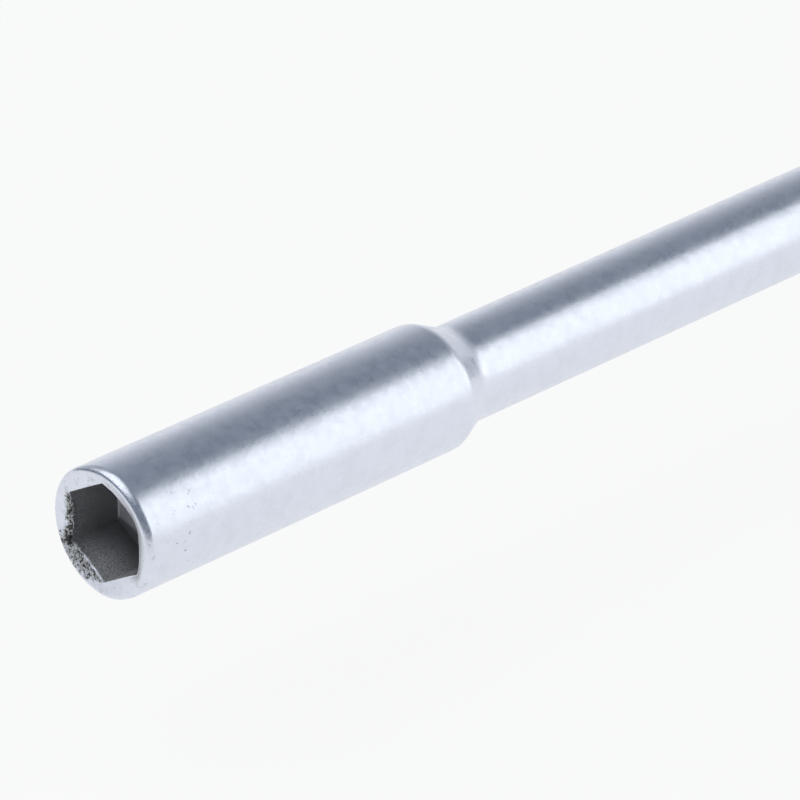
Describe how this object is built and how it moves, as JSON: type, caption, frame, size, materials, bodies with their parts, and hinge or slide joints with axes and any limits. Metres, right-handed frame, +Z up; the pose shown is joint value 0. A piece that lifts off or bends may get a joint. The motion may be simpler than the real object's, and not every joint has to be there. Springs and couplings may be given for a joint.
{
  "type": "nut driver",
  "caption": "Hand nut driver with a hexagon socket forged on a round chromed shaft, a moulded handle with soft grip inserts and an end cap with a hanging hole.",
  "frame": {"origin": "centre of the socket mouth, on the tool axis", "axes": "+X along the tool from the socket mouth to the end of the handle, +Z up with the tool lying on the flats of its flange and end cap"},
  "size_m": [0.235, 0.0316, 0.029],
  "materials": {
    "satin_chrome": "satin pearl chrome plate, worn at the mouth",
    "hard_plastic": "fine moulded grain",
    "grey_plastic": "smooth moulded",
    "soft_rubber": "dull, ribbed"
  },
  "bodies": {
    "root": {"blade": "satin_chrome", "handle_core": "hard_plastic", "size_ring": "grey_plastic", "neck_sleeve": "soft_rubber", "grip_insert_1": "soft_rubber", "grip_insert_2": "soft_rubber", "grip_insert_3": "soft_rubber", "grip_insert_4": "soft_rubber", "grip_insert_5": "soft_rubber", "grip_insert_6": "soft_rubber", "end_cap": "hard_plastic", "cap_plug": "grey_plastic"}
  },
  "joints": []
}
